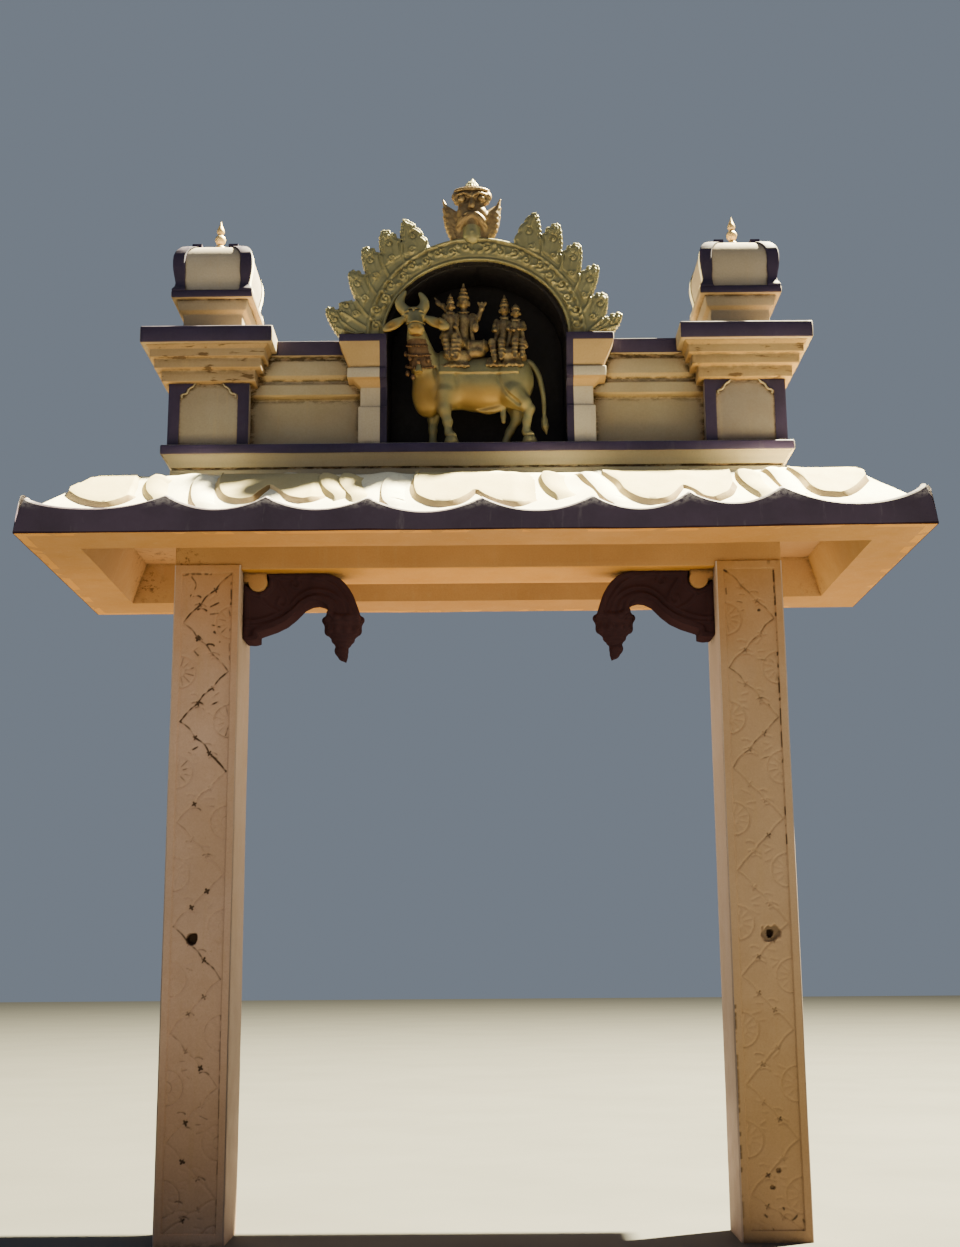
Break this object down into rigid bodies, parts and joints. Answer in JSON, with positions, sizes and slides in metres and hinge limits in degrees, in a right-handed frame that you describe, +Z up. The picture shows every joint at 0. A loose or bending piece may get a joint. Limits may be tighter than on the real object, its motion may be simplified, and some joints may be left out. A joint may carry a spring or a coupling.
{
  "type": "temple compound gateway",
  "caption": "Masonry gateway: two carved piers, beam and scalloped eave, with small pavilions and an arched niche holding a bull and riders.",
  "frame": {"origin": "on the ground midway between the piers, under the middle of the eave", "axes": "+X to the right seen from the front, -Y towards the road (front), +Z up"},
  "size_m": [5.12, 2.12, 6.434],
  "materials": {
    "cream_stucco": "cream limewash on lime and cement stucco, matt, stained",
    "plum_paint": "dark plum paint on stucco, matt, weathered on the upper edges",
    "gold_paint": "gold-bronze paint on moulded stucco, satin",
    "maroon_paint": "dark maroon paint on carved stucco, satin",
    "black_paint": "black paint on plaster, matt"
  },
  "bodies": {
    "root": {"bull": "gold_paint", "eave_deck": "cream_stucco", "eave_hood_back": "cream_stucco", "eave_hood_front": "cream_stucco", "eave_hood_left": "cream_stucco", "eave_hood_right": "cream_stucco", "eave_rim_back": "plum_paint", "eave_rim_front": "plum_paint", "eave_rim_left": "plum_paint", "eave_rim_right": "plum_paint", "flame_arch": "gold_paint", "front_rider": "gold_paint", "guardian_mask": "gold_paint", "left_bracket": "maroon_paint", "left_bracket_boss": "cream_stucco", "left_coping": "plum_paint", "left_niche_pier": "cream_stucco", "left_parapet_wall": "cream_stucco", "left_pavilion_body": "cream_stucco", "left_pavilion_cornice": "cream_stucco", "left_pavilion_cornice_band": "plum_paint", "left_pavilion_dome": "cream_stucco", "left_pavilion_finial": "gold_paint", "left_pavilion_neck": "cream_stucco", "left_pavilion_roof_band": "plum_paint", "left_pier": "cream_stucco", "lintel_beam": "cream_stucco", "niche_back_panel": "black_paint", "niche_vault": "cream_stucco", "parapet_band": "plum_paint", "parapet_base": "cream_stucco", "rear_riders": "gold_paint", "right_bracket": "maroon_paint", "right_bracket_boss": "cream_stucco", "right_coping": "plum_paint", "right_niche_pier": "cream_stucco", "right_parapet_wall": "cream_stucco", "right_pavilion_body": "cream_stucco", "right_pavilion_cornice": "cream_stucco", "right_pavilion_cornice_band": "plum_paint", "right_pavilion_dome": "cream_stucco", "right_pavilion_finial": "gold_paint", "right_pavilion_neck": "cream_stucco", "right_pavilion_roof_band": "plum_paint", "right_pier": "cream_stucco"}
  },
  "joints": []
}
